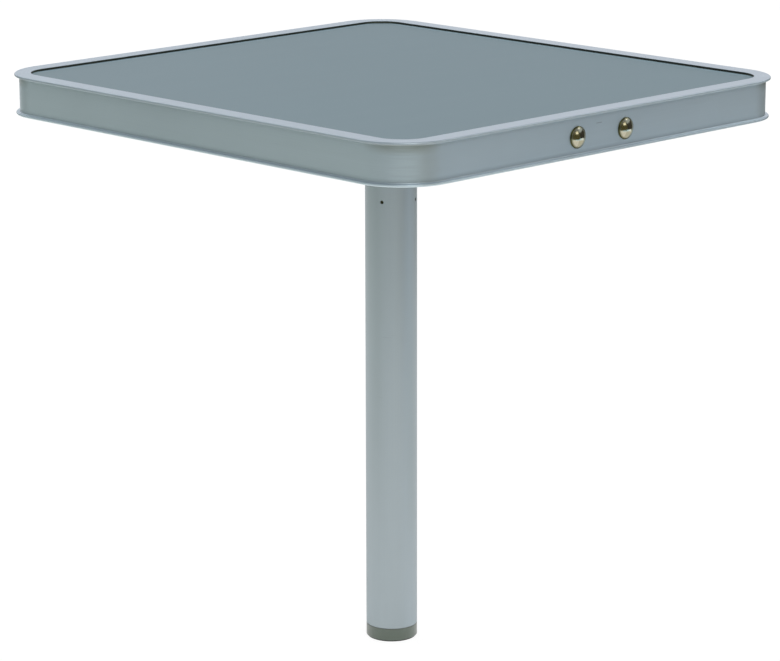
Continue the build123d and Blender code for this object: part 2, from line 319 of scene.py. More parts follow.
def shade(value, factor):
    """A colour made darker or lighter."""
    return tuple(min(1.0, channel * factor) for channel in tuple(value)[:3])


def once(build):
    """A finish is made the first time it is asked for, on the graph of a new material."""

    def get():
        name = "look_" + build.__name__
        found = bpy.data.materials.get(name)
        return found if found is not None else build(material_graph(name))

    return get


def satin_metal(g, base, lines_along, streak_depth=0.10, wear_and_shading=None):
    """Anodised aluminium with the fine lines that its die leaves along its length."""
    along, across = (2.5, 1400.0) if lines_along == "u" else (1400.0, 2.5)
    lines = g.noise(g.place((along, across, 1), uv=True), 1.0, 4.0, 0.65)
    broad = g.noise(g.place((along * 0.6, across * 0.06, 1), uv=True), 1.0, 2.0)
    cloud = g.noise(g.place(), 9.0, 3.0)
    marks = g.noise(g.place((30.0, 900.0, 1), uv=True, turn=(0, 0, 0.35)), 1.0, 1.0)
    scuffs = g.ramp(marks, 0.74, 0.80) * g.ramp(g.noise(g.place(), 16.0), 0.52, 0.62)
    tone = 0.45 * lines + 0.25 * broad + 0.30 * cloud
    body = g.tones(tone, base, 1 - streak_depth, 1 + streak_depth)
    body = g.mix(scuffs * 0.35, body, shade(base, 0.72))
    bend = g.attribute("bend")
    ripple = g.noise(g.place((9.0, 260.0, 1), uv=True), 1.0, 1.0) * bend * bend
    # The hook mixes in wear marks and painted light and shade
    if wear_and_shading is not None:
        body = wear_and_shading(g, body, ripple)
    height = 0.6 * lines + 1.3 * ripple + 0.8 * cloud
    return g.finish(
        Base_Color=body,
        Metallic=0.88,
        Roughness=0.34 + 0.12 * lines + 0.07 * cloud + 0.1 * scuffs,
        Normal=g.bump(height, 0.10, 0.0004),
    )


@once
def rail_metal(g):
    """The rail's metal, with painted shade in the creases, painted highlights, bend marks and one
    scratch.
    """
    return satin_metal(g, colours().rail, "u", wear_and_shading=rail_wear_and_shading)


def past_rim(g):
    """How far a point lies beyond the rim's inner edge, less than zero over the panel."""
    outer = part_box("frame_rail")[1]
    x, y, _ = g.position()
    beyond = [
        g.math("ABSOLUTE", place) - (reach - sizes().rim_width)
        for place, reach in ((x, outer.x), (y, outer.y))
    ]
    return g.math("MAXIMUM", *beyond)


def rail_wear_and_shading(g, body, ripple):
    """Painted shade and highlights on the rail, and a real scratch.

    Painted shade darkens the creases under the top nose and over the lower nose, the lower half
    of the top nose, the rim's inner lip and the web under the rim in the bends. Painted
    highlights lighten the web towards the far ends, the lower nose on the -X side and the bend
    ripples. Each mark fades in and out over a band of the height, and some of them along the
    sides or with the bend. The marks are mixed in one after the other.
    """
    s, tints = sizes(), colours()
    low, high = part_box("frame_rail")
    x, y, z = g.position()
    bend = g.attribute("bend")
    top, under, ledge = high.z, high.z - s.nose, low.z + s.nose
    # upper: painted shade in the crease under the top nose; lower: painted shade over the lower
    # nose
    upper = g.band(z, under - 5 * MM, under, under, top - 0.6 * MM)
    lower = g.band(z, ledge - 1 * MM, ledge, ledge + 0.5 * MM, ledge + 5.5 * MM)
    web = g.band(z, ledge - 1 * MM, ledge, under - 1 * MM, under + 0.2 * MM)
    # Painted highlight: the web lighter towards the +X and +Y ends
    far = g.math("MAXIMUM", g.ramp(x, 50 * MM, high.x), g.ramp(y, 50 * MM, high.y))
    left = g.ramp(x, 0.0, low.x + 20 * MM)
    # Painted highlight: the lower nose lighter on the -X side
    polish = g.ramp(z, ledge + 0.3 * MM, ledge - 1 * MM) * left
    # Painted shade: the lower half of the top nose darker, more on the -X side
    edge = g.band(z, under - 0.6 * MM, under, top - 1.8 * MM, top - 1.1 * MM)
    lip = g.band(z, under, top - s.lip, top - 0.35 * MM, top - 0.1 * MM)
    inner = g.ramp(past_rim(g), 1.2 * MM, 0.4 * MM)
    # Painted shade: a dark olive band on the web under the rim, in the bends
    bend_shade = g.band(z, under - 12 * MM, under - 4 * MM, under, under + 0.4 * MM) * bend
    marks = (
        (upper * 0.18, shade(tints.rail, 0.55)),
        (lower * 0.30, shade(tints.rail, 0.45)),
        (far * web * 0.45, shade(tints.rail, 1.3)),
        (polish, shade(tints.rail, 1.3)),
        (edge * (0.12 + 0.20 * left), shade(tints.rail, 0.5)),
        (lip * inner * 0.9, tints.shadow),
        (bend_shade * 0.55, tints.bend_shade),
        # Painted highlight on the bend ripples
        (g.ramp(ripple, 0.42, 0.62) * 0.22, shade(tints.rail, 1.3)),
        (scratch(g, x, y, z) * 0.5, shade(tints.rail, 0.35)),
    )
    for amount, tint in marks:
        body = g.mix(amount, body, tint)
    return body


def scratch(g, x, y, z):
    """A short level scratch between the front's domed bolts, a little above them.

    It fades with the distance from its middle, along its length and across it.
    """
    (bolt_x, bolt_z), _ = bolt_places()
    middle_x = bolt_x + 34 * MM
    middle_z = bolt_z + 11.5 * MM
    length_part = g.ramp(g.math("ABSOLUTE", x - middle_x), 5.2 * MM, 3.6 * MM)
    width_part = g.ramp(g.math("ABSOLUTE", z - middle_z), 0.6 * MM, 0.2 * MM)
    return length_part * width_part * g.ramp(y, 0, -1 * MM)


@once
def leg_metal(g):
    """The leg's metal, with painted light that makes it a little brighter at its lower end."""
    return satin_metal(g, colours().leg, "v", wear_and_shading=leg_shading)


def leg_shading(g, body, _):
    """Painted light and shade, a tone that falls with the height: two ramps, one for each end."""
    base = colours().leg
    z = g.position()[2]
    body = g.mix(g.ramp(z, 250 * MM, 50 * MM) * 0.2, body, shade(base, 1.3))
    return g.mix(g.ramp(z, 300 * MM, 500 * MM) * 0.12, body, shade(base, 0.75))


@once
def mill_metal(g):
    """Plain extruded metal, with fainter lines than the rail and no wear."""
    return satin_metal(g, colours().mill, "u", streak_depth=0.06)


@once
def panel_face(g):
    """Matt laminate with a fine speckle and a faint pebble, and a painted highlight along its edge.
    """
    base = colours().panel
    speckle = g.noise(g.place(), 900.0, 2.0, 0.6)
    cloud = g.noise(g.place(), 5.0, 4.0, 0.55)
    wipes = g.noise(g.place((3.0, 22.0, 1), turn=(0, 0, 0.5)), 1.0, 3.0)
    body = g.tones(0.55 * speckle + 0.45 * cloud, base, 0.95, 1.05)
    # Painted highlight: lighter near the rim's inner edge, fading out 9 mm from it
    edge = g.ramp(past_rim(g), -9 * MM, -3.5 * MM)
    body = g.mix(edge * 0.9, body, shade(base, 1.5))
    pebble = g.noise(g.place(), 1500.0, 1.0)
    return g.finish(
        Base_Color=body,
        Roughness=0.52 + 0.06 * cloud + 0.05 * wipes,
        Specular_IOR_Level=0.3,
        Normal=g.bump(pebble + 0.4 * speckle, 0.08, 0.0003),
    )


@once
def backing_sheet(g):
    """Plain resin paper with a faint fibre."""
    fibre = g.noise(g.place((1, 9, 1)), 120.0, 4.0, 0.6)
    body = g.tones(fibre, colours().backing, 0.92, 1.06)
    return g.finish(
        Base_Color=body, Roughness=0.62 + 0.1 * fibre, Normal=g.bump(fibre, 0.1, 0.0003)
    )


@once
def wood_core(g):
    """Light plywood: plies across its height and a soft grain along it."""
    grain = g.noise(g.place((3, 60, 60)), 4.0, 4.0, 0.6)
    waves = g.node("TexWave", {"bands_direction": "Z"}, {"Vector": g.place(), "Scale": 90.0})
    plies = g.out(waves, "Fac")
    body = g.tones(0.6 * grain + 0.4 * plies, colours().wood, 0.75, 1.15)
    return g.finish(
        Base_Color=body, Roughness=0.6 + 0.15 * grain, Normal=g.bump(grain, 0.2, 0.0004)
    )


@once
def seal_rubber(g):
    """Black rubber with pale dust in its corners."""
    grain = g.noise(g.place(), 1200.0, 2.0, 0.6)
    body = g.tones(grain, colours().seal, 0.85, 1.15)
    body = g.mix(g.ramp(g.attribute("bend"), 0.1, 0.9) * 0.25, body, colours().dust)
    return g.finish(
        Base_Color=body, Roughness=0.55 + 0.1 * grain, Normal=g.bump(grain, 0.15, 0.0003)
    )


def dull(g, base, roughness, grain_scale, depth, swing=0.12, sheen=0.0):
    """Moulded plastic or rubber: a fine grain, a soft cloud in tone and gloss."""
    grain = g.noise(g.place(), grain_scale, 2.0, 0.6)
    cloud = g.noise(g.place(), 40.0, 3.0)
    return g.finish(
        Base_Color=g.tones(0.5 * grain + 0.5 * cloud, base, 1 - swing, 1 + swing),
        Roughness=roughness + 0.10 * cloud,
        Sheen_Weight=sheen,
        Normal=g.bump(grain, depth, 0.0003),
    )


@once
def sole_rubber(g):
    """Soft rubber with a rough grain."""
    return dull(g, colours().sole, roughness=0.7, grain_scale=900.0, depth=0.25)


@once
def foam(g):
    """Foam tape with open cells."""
    return dull(g, colours().sole, roughness=0.85, grain_scale=500.0, depth=0.6)


@once
def nylon(g):
    """Moulded nylon, smoother than rubber."""
    return dull(g, colours().nylon, roughness=0.4, grain_scale=700.0, depth=0.1)


@once
def foot_plastic(g):
    """Satin plastic with a soft sheen at its sides."""
    return dull(
        g, colours().foot, roughness=0.38, grain_scale=1100.0, depth=0.12, swing=0.08, sheen=0.8
    )


@once
def nickel(g):
    """Bright nickel plate with fine polish lines, a little haze and painted shade round its rim."""
    s = sizes()
    haze = g.noise(g.place(), 260.0, 3.0)
    polish = g.noise(g.place((1, 1, 14)), 700.0, 2.0)
    body = g.tones(haze, colours().nickel, 0.94, 1.04)
    out = g.math("ABSOLUTE", g.position()[1])
    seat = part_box("dome_bolts_back")[1].y - s.dome_height - s.dome_rim
    # Painted shade: a dark ring round the rim of each dome, also rougher
    dome_edge_shade = g.ramp(out, seat + 2.5 * MM, seat + 1.3 * MM)
    return g.finish(
        Base_Color=g.mix(dome_edge_shade * 0.94, body, colours().dome_edge_shade),
        Metallic=1.0,
        Roughness=0.09 + 0.09 * haze + 0.2 * dome_edge_shade,
        Normal=g.bump(polish, 0.04, 0.0002),
    )


@once
def cast_metal(g):
    """Die-cast aluminium: a fine pitted grain and a dull, uneven gloss."""
    pits = g.noise(g.place(), 900.0, 3.0, 0.7)
    cloud = g.noise(g.place(), 28.0, 3.0)
    return g.finish(
        Base_Color=g.tones(0.4 * pits + 0.6 * cloud, colours().cast, 0.86, 1.1),
        Metallic=0.9,
        Roughness=0.42 + 0.2 * cloud,
        Normal=g.bump(pits, 0.22, 0.0004),
    )


@once
def zinc(g):
    """Zinc-plated steel with a faint warm and cool cloud."""
    cloud = g.noise(g.place(), 120.0, 4.0)
    return g.finish(
        Base_Color=g.mix(g.ramp(cloud, 0.35, 0.7), colours().zinc, colours().warm_zinc),
        Metallic=1.0,
        Roughness=0.26 + 0.16 * cloud,
        Normal=g.bump(g.noise(g.place(), 1600.0), 0.05, 0.0002),
    )


@once
def dark_steel(g):
    """Blackened steel with oil-dark hollows."""
    cloud = g.noise(g.place(), 600.0, 3.0)
    body = g.tones(cloud, colours().dark_steel, 0.7, 1.3)
    return g.finish(Base_Color=body, Metallic=0.7, Roughness=0.45 + 0.2 * cloud)


def rounded(corners, steps=6, support=0.12 * MM, closed=True):
    """Polyline whose corners are arcs. Each corner is (x, y, radius).

    At a corner the arc touches both sides at radius / tan(half the angle between them). A
    point is added just outside each end of an arc, short of the middle of its side, so that
    smooth shading stays flat between the arcs.
    """
    points = np.array([c[:2] for c in corners], float)
    radii = [c[2] for c in corners]
    count = len(corners)
    made = []
    for k in range(count):
        here = points[k]
        if radii[k] <= 0 or (not closed and k in (0, count - 1)):
            made.append(here[None])
            continue
        to_last = points[k - 1] - here
        to_next = points[(k + 1) % count] - here
        last_length, next_length = np.linalg.norm(to_last), np.linalg.norm(to_next)
        to_last, to_next = to_last / last_length, to_next / next_length
        half = math.acos(np.clip(to_last @ to_next, -1, 1)) / 2
        reach = radii[k] / math.tan(half)
        bisector = (to_last + to_next) / np.linalg.norm(to_last + to_next)
        centre = here + bisector * radii[k] / math.sin(half)
        first, last = here + to_last * reach - centre, here + to_next * reach - centre
        share = np.linspace(0, 1, steps + 1)[:, None]
        sweep = math.pi - 2 * half
        arc = (np.sin((1 - share) * sweep) * first + np.sin(share * sweep) * last) / math.sin(sweep)
        before = here + to_last * min(reach + support, last_length * 0.49)
        after = here + to_next * min(reach + support, next_length * 0.49)
        made += [before[None], centre + arc, after[None]]
    return np.concatenate(made)


class Shell:
    """A grid of points with the map and the wrapping of its two directions."""

    def __init__(self, points, wrap=(False, False), lids=False, bend=None):
        self.points = np.asarray(points, float)
        self.wrap = wrap
        self.lids = lids
        self.bend = bend

    def moved(self, matrix):
        """The same shell, turned and shifted by a 4 by 4 matrix."""
        m = np.array(matrix)
        return Shell(self.points @ m[:3, :3].T + m[:3, 3], self.wrap, self.lids, self.bend)

    def quads(self):
        """Row and column of each quad's corners, counted on past the end where they wrap."""
        rows, cols = self.points.shape[:2]
        i = np.arange(rows if self.wrap[0] else rows - 1)
        j = np.arange(cols if self.wrap[1] else cols - 1)
        i, j = (a.ravel() for a in np.meshgrid(i, j, indexing="ij"))
        return np.stack([i, i, i + 1, i + 1], axis=1), np.stack([j, j + 1, j + 1, j], axis=1)

    def faces(self):
        """Numbers of the points of each quad."""
        rows, cols = self.points.shape[:2]
        i, j = self.quads()
        return (i % rows) * cols + j % cols

    def map_lines(self):
        """Length along the grid's middle line in each direction, with the wrapped step."""
        lines = []
        for axis in (0, 1):
            grid = np.moveaxis(self.points, axis, 0)
            line = grid[:, grid.shape[1] // 2]
            if self.wrap[axis]:
                line = np.concatenate([line, line[:1]])
            steps = np.linalg.norm(np.diff(line, axis=0), axis=1)
            lines.append(np.concatenate([[0.0], np.cumsum(steps)]))
        return lines


def add_object(name, data):
    """A new object in the scene."""
    obj = bpy.data.objects.new(name, data)
    bpy.context.scene.collection.objects.link(obj)
    return obj


def make_piece(name, shells, finish, body, node=None, sharp_deg=SHARP_DEG):
    """A mesh object of several shells, each a grid of quads, riding on a body.

    Quad (i, j) joins grid points (i, j), (i, j+1), (i+1, j+1) and (i+1, j), counted round
    where the grid wraps. Lids close the first and last row with one face each. Points that
    fall together at a pole are merged, and the faces are turned outwards.
    """
    verts, faces, maps, bends = [], [], [], []
    offset = 0
    for shell in shells:
        rows, cols = shell.points.shape[:2]
        faces += (shell.faces() + offset).tolist()
        i, j = shell.quads()
        along, across = shell.map_lines()
        maps.append(np.stack([along[i], across[j]], axis=2).reshape(-1, 2))
        if shell.lids:
            for row in (0, rows - 1):
                faces.append((np.arange(cols) + row * cols + offset).tolist())
                maps.append(np.stack([np.zeros(cols), across[:cols]], axis=1))
        verts.append(shell.points.reshape(-1, 3))
        bend = np.zeros(rows) if shell.bend is None else shell.bend
        bends.append(np.repeat(bend, cols))
        offset += rows * cols
    mesh = bpy.data.meshes.new(name)
    mesh.from_pydata(np.concatenate(verts).tolist(), [], faces)
    layer = mesh.uv_layers.new(name="map")
    layer.data.foreach_set("uv", np.concatenate(maps).astype(np.float32).ravel())
    bend_layer = mesh.attributes.new("bend", "FLOAT", "POINT")
    bend_layer.data.foreach_set("value", np.concatenate(bends).astype(np.float32))
    clean_mesh(mesh, sharp_deg)
    mesh.materials.append(finish)
    obj = add_object(name, mesh)
    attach(obj, body)
    if node is not None:
        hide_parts(node)
    return obj


def clean_mesh(mesh, sharp_deg):
    """Merge points that coincide, face outwards, and shade smooth except at sharp edges."""
    work = bmesh.new()
    work.from_mesh(mesh)
    bmesh.ops.remove_doubles(work, verts=work.verts, dist=1e-7)
    bmesh.ops.recalc_face_normals(work, faces=work.faces)
    work.to_mesh(mesh)
    work.free()
    mesh.polygons.foreach_set("use_smooth", np.ones(len(mesh.polygons), bool))
    mesh.set_sharp_from_angle(angle=math.radians(sharp_deg))


def cut_holes(obj, shells):
    """Cut closed shells out of an object, with an exact Boolean that is applied."""
    cutter = make_piece("hole_cutter", shells, obj.data.materials[0], "leg")
    modifier = obj.modifiers.new("holes", "BOOLEAN")
    modifier.operation = "DIFFERENCE"
    modifier.solver = "EXACT"
    modifier.object = cutter
    bpy.context.view_layer.update()
    graph = bpy.context.evaluated_depsgraph_get()
    cut = bpy.data.meshes.new_from_object(obj.evaluated_get(graph))
    obj.modifiers.clear()
    old = obj.data
    obj.data = cut
    cut.name = obj.name
    bpy.data.meshes.remove(old)
    bpy.data.objects.remove(cutter)
    cut.set_sharp_from_angle(angle=math.radians(SHARP_DEG))


def full_circle(segments):
    """Equal angles round a circle."""
    return np.linspace(0, 2 * np.pi, segments, endpoint=False)


def swept(profile, angle):
    """Points of a profile, each a radius and a height, carried round Z to each angle."""
    r, z = np.asarray(profile, float).T
    cosine, sine = np.cos(angle)[:, None], np.sin(angle)[:, None]
    return np.stack([cosine * r, sine * r, np.broadcast_to(z, (len(angle), len(z)))], axis=2)


def turned(profile, segments=96, closed=False):
    """Shell of a profile that is turned about Z."""
    return Shell(swept(profile, full_circle(segments)), wrap=(True, closed))


def rounded_box(low, high, radius):
    """Bar with rounded long edges, its section in XZ carried along Y."""
    section = rounded(
        [
            (low.x, low.z, radius),
            (high.x, low.z, radius),
            (high.x, high.z, radius),
            (low.x, high.z, radius),
        ],
        steps=5,
    )
    points = np.zeros((2, len(section), 3))
    points[:, :, [0, 2]] = section
    points[:, :, 1] = [[low.y], [high.y]]
    return Shell(points, wrap=(False, True), lids=True)


def along_y(x, y, z, sign):
    """Matrix that turns +Z to +Y or -Y, by its sign, and moves to a place."""
    return Matrix.Translation((x, y, z)) @ Matrix.Rotation(-sign * math.pi / 2, 4, "X")


class Outline:
    """The rail's outline: four straight sides and four quarter circles.

    Every point has a place, a direction inwards, the way it goes when its corner's circle gets
    one smaller and still touches both sides, and a bend that is one in the middle of a corner.
    """

    rim_reach = 1.5 * MM

    def __init__(self, start=None, gap=0.0):
        """A start place on the +Y side opens the path there, by a gap."""
        low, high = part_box("frame_rail")
        halves = ((high.x - low.x) / 2, (high.y - low.y) / 2)
        radius = sizes().corner_radius
        vectors, bends = [], []
        first = 0
        for quarter in range(4):
            run = halves[quarter % 2] - radius
            edge = halves[(quarter + 1) % 2]
            x = np.linspace(-run, run, SIDE_POINTS)
            if start is not None and quarter == 2:
                ends = np.array([-start - gap / 2, -start + gap / 2])
                x = np.sort(np.concatenate([x, ends]))
                first = int(np.searchsorted(x, ends[1])) + sum(len(bend) for bend in bends)
            # The angle is zero along the side and runs to a right angle round its corner
            arc = np.linspace(0, np.pi / 2, CORNER_POINTS)[1:-1]
            angle = np.concatenate([np.zeros(len(x)), arc])
            along = np.concatenate([x, np.full(len(arc), run)])
            curved = np.arange(len(angle)) >= len(x)
            sine, cosine = np.sin(angle), np.cos(angle)
            place = [along + radius * sine, radius - radius * cosine - edge]
            inward = [-sine, cosine]
            outward = [curved * (1 - sine), curved * (cosine - 1)]
            # Each side is worked out as the one at -Y and then turned to its own place
            turn = np.linalg.matrix_power(np.array([[0, -1], [1, 0]]), quarter)
            vectors.append(np.moveaxis(np.array([place, inward, outward]), 2, 0) @ turn.T)
            bends.append(np.sin(2 * angle))
        vectors = np.roll(np.concatenate(vectors), -first, axis=0)
        self.places, self.inwards, self.outwards = np.moveaxis(vectors, 1, 0)
        self.bends = np.roll(np.concatenate(bends), -first)
        self.closed = start is None

    def carry(self, section):
        """Section of (inset, height) points carried along the outline.

        Points within rim_reach of the rim's inner edge go round its own, tighter inner
        corners: a smaller circle, whose centre lies nearer to the corner.
        """
        s = sizes()
        inset, height = section[:, 0], section[:, 1]
        flat = self.places[:, None] + self.inwards[:, None] * inset[None, :, None]
        shift = s.corner_radius - s.rim_width - s.rim_corner
        tight = np.where(inset > s.rim_width - self.rim_reach, shift, 0.0)
        flat = flat + self.outwards[:, None] * tight[None, :, None]
        z = np.broadcast_to(height, flat.shape[:2])
        points = np.concatenate([flat, z[..., None]], axis=2)
        return Shell(points, wrap=(self.closed, True), lids=not self.closed, bend=self.bends)


def rail_section():
    """Inset and height of each corner of the rail's section, with the radius of its edge."""
    s = sizes()
    low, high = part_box("frame_rail")
    top, bottom = high.z, low.z
    web_out = s.rim_overhang
    web_in = web_out + s.web
    shelf_top = top - s.panel_recess - s.panel
    # Almost half the thickness, so that the nose's two arcs don't quite meet
    nose_r = s.nose / 2 * 0.98
    fine = 0.25 * MM
    return rounded(
        [
            (s.rim_width, top, fine),
            (0, top, nose_r),
            (0, top - s.nose, nose_r),
            (web_out, top - s.nose, s.web_fillet),
            (web_out, bottom + s.nose, s.web_fillet),
            (s.base_setback, bottom + s.nose, nose_r),
            (s.base_setback, bottom, nose_r),
            (web_in + s.base_width, bottom, fine),
            (web_in + s.base_width, bottom + s.base, fine),
            (web_in, bottom + s.base, fine),
            (web_in, shelf_top - s.shelf, fine),
            (web_in + s.shelf_width, shelf_top - s.shelf, fine),
            (web_in + s.shelf_width, shelf_top, fine),
            (web_in, shelf_top, fine),
            (web_in, top - s.flange, fine),
            (s.rim_width - s.lip_width, top - s.flange, fine),
            (s.rim_width - s.lip_width, top - s.lip, fine),
            (s.rim_width, top - s.lip, fine),
        ]
    )


def dome_profile(radius, height, rim, shank_radius, shank_length):
    """Profile of a domed bolt from the tip of its shank to the top of its dome.

    The dome is a spherical cap: its sphere's radius is (r squared + h squared) / 2h, and its
    points are at equal angles from the rim to the top. The rim's edge is rounded.
    """
    sphere = (radius**2 + height**2) / (2 * height)
    # Point of the cap at which the rim's rounded edge ends
    meet = 3
    angle = np.linspace(math.asin(radius / sphere), 0, DOME_POINTS)
    cap = np.stack([sphere * np.sin(angle), rim + height - sphere + sphere * np.cos(angle)], axis=1)
    edge = rounded(
        [
            (0, -shank_length, 0),
            (shank_radius, -shank_length, 0.5 * MM),
            (shank_radius, 0, 0.2 * MM),
            (radius, 0, 0.2 * MM),
            (*cap[0], 0.25 * MM),
            (*cap[meet], 0),
        ],
        steps=5,
        support=0.05 * MM,
        closed=False,
    )
    return np.concatenate([edge, cap[meet + 1 :]])


def button_head(radius, height):
    """Radii and heights of a low domed head, from its seat to its flat top.

    Over a share that runs to one, the radius falls with its square and the height rises with
    its root.
    """
    rim_low, rim_high = 0.2 * MM, 0.25 * MM
    share = np.linspace(0.15, 1.0, 7)
    radii = [radius * 0.96, radius, *(radius * (1 - 0.42 * share**2))]
    heights = [0.0, rim_low, *(rim_high + (height - rim_high) * np.sqrt(share))]
    return radii, heights


def socket_head(radii, heights, socket, depth, shank_radius, shank_length, segments=72):
    """Bolt with a hexagon socket in its head, standing on z = 0 with its shank below.

    The radius of the socket's wall at an angle is its apothem / cos(angle from the middle of
    the nearest flat). Its mouth is bevelled and its floor is a shallow cone. The other rows
    are circles.
    """
    angle = full_circle(segments)
    from_flat = (angle + math.pi / 6) % (math.pi / 3) - math.pi / 6
    hexagon = socket * math.cos(math.pi / 6) / np.cos(from_flat)
    bevel = 0.5 * MM
    top = heights[-1]
    rows = [
        (0, -shank_length),
        (shank_radius - bevel, -shank_length),
        (shank_radius, -shank_length + bevel),
        (shank_radius, 0),
        *zip(radii, heights),
        (hexagon * 1.06, top),
        (hexagon, top - 0.15 * MM),
        (hexagon, top - depth),
        (0, top - depth * 1.15),
    ]
    points = np.zeros((len(rows), segments, 3))
    for k, (r, z) in enumerate(rows):
        points[k, :, 0] = r * np.cos(angle)
        points[k, :, 1] = r * np.sin(angle)
        points[k, :, 2] = z
    return Shell(points, wrap=(False, True))


def dress(node, finish):
    """Give a CAD node a finish in all its slots."""
    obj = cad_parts[node]
    if not obj.material_slots:
        obj.data.materials.append(finish)
    for slot in obj.material_slots:
        slot.material = finish


def bolt_places():
    """X and Z of the two bearers' axes."""
    return [
        (sum(v.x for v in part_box(node)) / 2, sum(v.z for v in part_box(node)) / 2)
        for node in BEARERS
    ]


class MakeRail(bpy.types.Operator):
    """Bend the edge rail round the table and close its seam with a plate"""

    bl_idname = PREFIX + ".rail"
    bl_label = "Edge rail"

    def execute(self, context):
        s = sizes()
        rail = Outline(s.seam_place, s.seam_gap).carry(rail_section())
        make_piece("edge_rail", [rail], rail_metal(), "top", "frame_rail")
        low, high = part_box("seam_plate")
        plate = rounded_box(low, high, radius=1.2 * MM)
        make_piece("rail_seam_plate", [plate], mill_metal(), "top", "seam_plate")
        return {"FINISHED"}


class MakePanel(bpy.types.Operator):
    """Finish the three layers of the panel and lay its seal"""

    bl_idname = PREFIX + ".panel"
    bl_label = "Panel and seal"

    def execute(self, context):
        dress("panel_laminate", panel_face())
        dress("panel_core", wood_core())
        dress("panel_backing", backing_sheet())
        dress("bearer_tapes", foam())
        s = sizes()
        low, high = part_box("panel_seal")
        rail_low, rail_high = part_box("frame_rail")
        gap, setback = 0.1 * MM, 0.5 * MM
        first = low.x - rail_low.x
        step = s.rim_width - s.lip_width + gap
        last = s.rim_width - setback
        flange_z = rail_high.z - s.flange
        section = rounded(
            [
                (first, low.z, 0.15 * MM),
                (first, flange_z, 0.15 * MM),
                (step, flange_z, 0.15 * MM),
                (step, high.z, 0.15 * MM),
                (last, high.z, 0.45 * MM),
                (last, low.z, 0.3 * MM),
            ],
            steps=5,
        )
        seal = Outline().carry(section)
        make_piece("panel_edge_seal", [seal], seal_rubber(), "top", "panel_seal")
        return {"FINISHED"}


class MakeBearers(bpy.types.Operator):
    """Draw the two bearers as tubes with rounded corners"""

    bl_idname = PREFIX + ".bearers"
    bl_label = "Bearers"

    def execute(self, context):
        wall = Vector((1, 0, 1)) * sizes().bearer_wall
        for node in BEARERS:
            low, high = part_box(node)
            outer = rounded_box(low, high, radius=1.5 * MM)
            inner = rounded_box(low + wall, high - wall, radius=0.6 * MM)
            walls = np.concatenate([outer.points, inner.points[::-1]])
            tube = Shell(walls, wrap=(True, True))
            make_piece(node + "_tube", [tube], mill_metal(), "top", node)
        dress("bearer_plugs", mill_metal())
        dress("bearer_nuts", zinc())
        return {"FINISHED"}


class MakeDomes(bpy.types.Operator):
    """Turn the domed bolts that hold the bearers' ends"""

    bl_idname = PREFIX + ".domes"
    bl_label = "Domed bolts"

    def execute(self, context):
        s = sizes()
        head = s.dome_height + s.dome_rim
        for sign, node in ((-1, "dome_bolts_front"), (1, "dome_bolts_back")):
            low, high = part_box(node)
            radius = (high.z - low.z) / 2
            seat = (low.y + head) if sign < 0 else (high.y - head)
            shank = (high.y - low.y) - head
            profile = dome_profile(radius, s.dome_height, s.dome_rim, s.dome_shank, shank)
            bolt = turned(profile)
            bolts = [bolt.moved(along_y(x, seat, z, sign)) for x, z in bolt_places()]
            make_piece(node + "_turned", bolts, nickel(), "top", node)
        return {"FINISHED"}


class MakeSeamRivets(bpy.types.Operator):
    """Set the rivets of the seam plate"""

    bl_idname = PREFIX + ".seam_rivets"
    bl_label = "Seam rivets"

    def execute(self, context):
        low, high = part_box("seam_rivets")
        z = (low.z + high.z) / 2
        head_r, tail_r = (high.z - low.z) / 2, 2.6 * MM
        head_h, tail_h, rim = 1.05 * MM, 0.8 * MM, 0.15 * MM
        head = dome_profile(head_r, head_h, rim, shank_radius=1.5 * MM, shank_length=3.6 * MM)
        # The tail's own shank is thinner, so that it stays inside the head's
        tail = dome_profile(tail_r, tail_h, rim, shank_radius=1.4 * MM, shank_length=1 * MM)
        head, tail = turned(head, segments=48), turned(tail, segments=48)
        far, near = (high.x - low.x) / 2 - head_r, 10 * MM
        shells = []
        for shift in (-far, -near, near, far):
            x = sizes().seam_place + shift
            shells.append(head.moved(along_y(x, high.y - head_h - rim, z, 1)))
            shells.append(tail.moved(along_y(x, low.y + tail_h + rim, z, -1)))
        make_piece("rail_seam_rivets", shells, mill_metal(), "top", "seam_rivets")
        return {"FINISHED"}


class MakeFlange(bpy.types.Operator):
    """Cast the flange with its spigot, and bolt it under the bearers"""

    bl_idname = PREFIX + ".flange"
    bl_label = "Flange, spigot and bolts"

    def execute(self, context):
        s = sizes()
        low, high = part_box("spigot_flange")
        flange_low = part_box("collar_bush")[1].z
        bore = s.spigot - s.spigot_wall
        profile = rounded(
            [
                (0, high.z, 0),
                (high.x, high.z, 0.8 * MM),
                (high.x, flange_low, 1.5 * MM),
                (s.spigot, flange_low, 0.03 * MM),
                (s.spigot, low.z + s.spigot_chamfer, 0.5 * MM),
                (s.spigot - s.spigot_chamfer, low.z, 0.5 * MM),
                (bore, low.z, 0.4 * MM),
                (bore, flange_low, 1.2 * MM),
                (0, flange_low, 0),
            ],
            steps=5,
            closed=False,
        )
        casting = turned(profile, segments=160)
        make_piece("flange_spigot", [casting], cast_metal(), "top", "spigot_flange")
        low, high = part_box("flange_bolts")
        head_r, head_h = 5.2 * MM, 2 * MM
        seat = low.z + head_h
        bolt = socket_head(
            *button_head(head_r, head_h),
            socket=2.3 * MM,
            depth=1.4 * MM,
            shank_radius=3 * MM,
            shank_length=high.z - seat,
        )
        flip = Matrix.Rotation(math.pi, 4, "X")
        bolts = [
            bolt.moved(Matrix.Translation((x, y, seat)) @ flip)
            for x, _ in bolt_places()
            for y in (low.y + head_r, high.y - head_r)
        ]
        make_piece("flange_bolts_domed", bolts, zinc(), "top", "flange_bolts")
        dress("flange_washers", zinc())
        return {"FINISHED"}


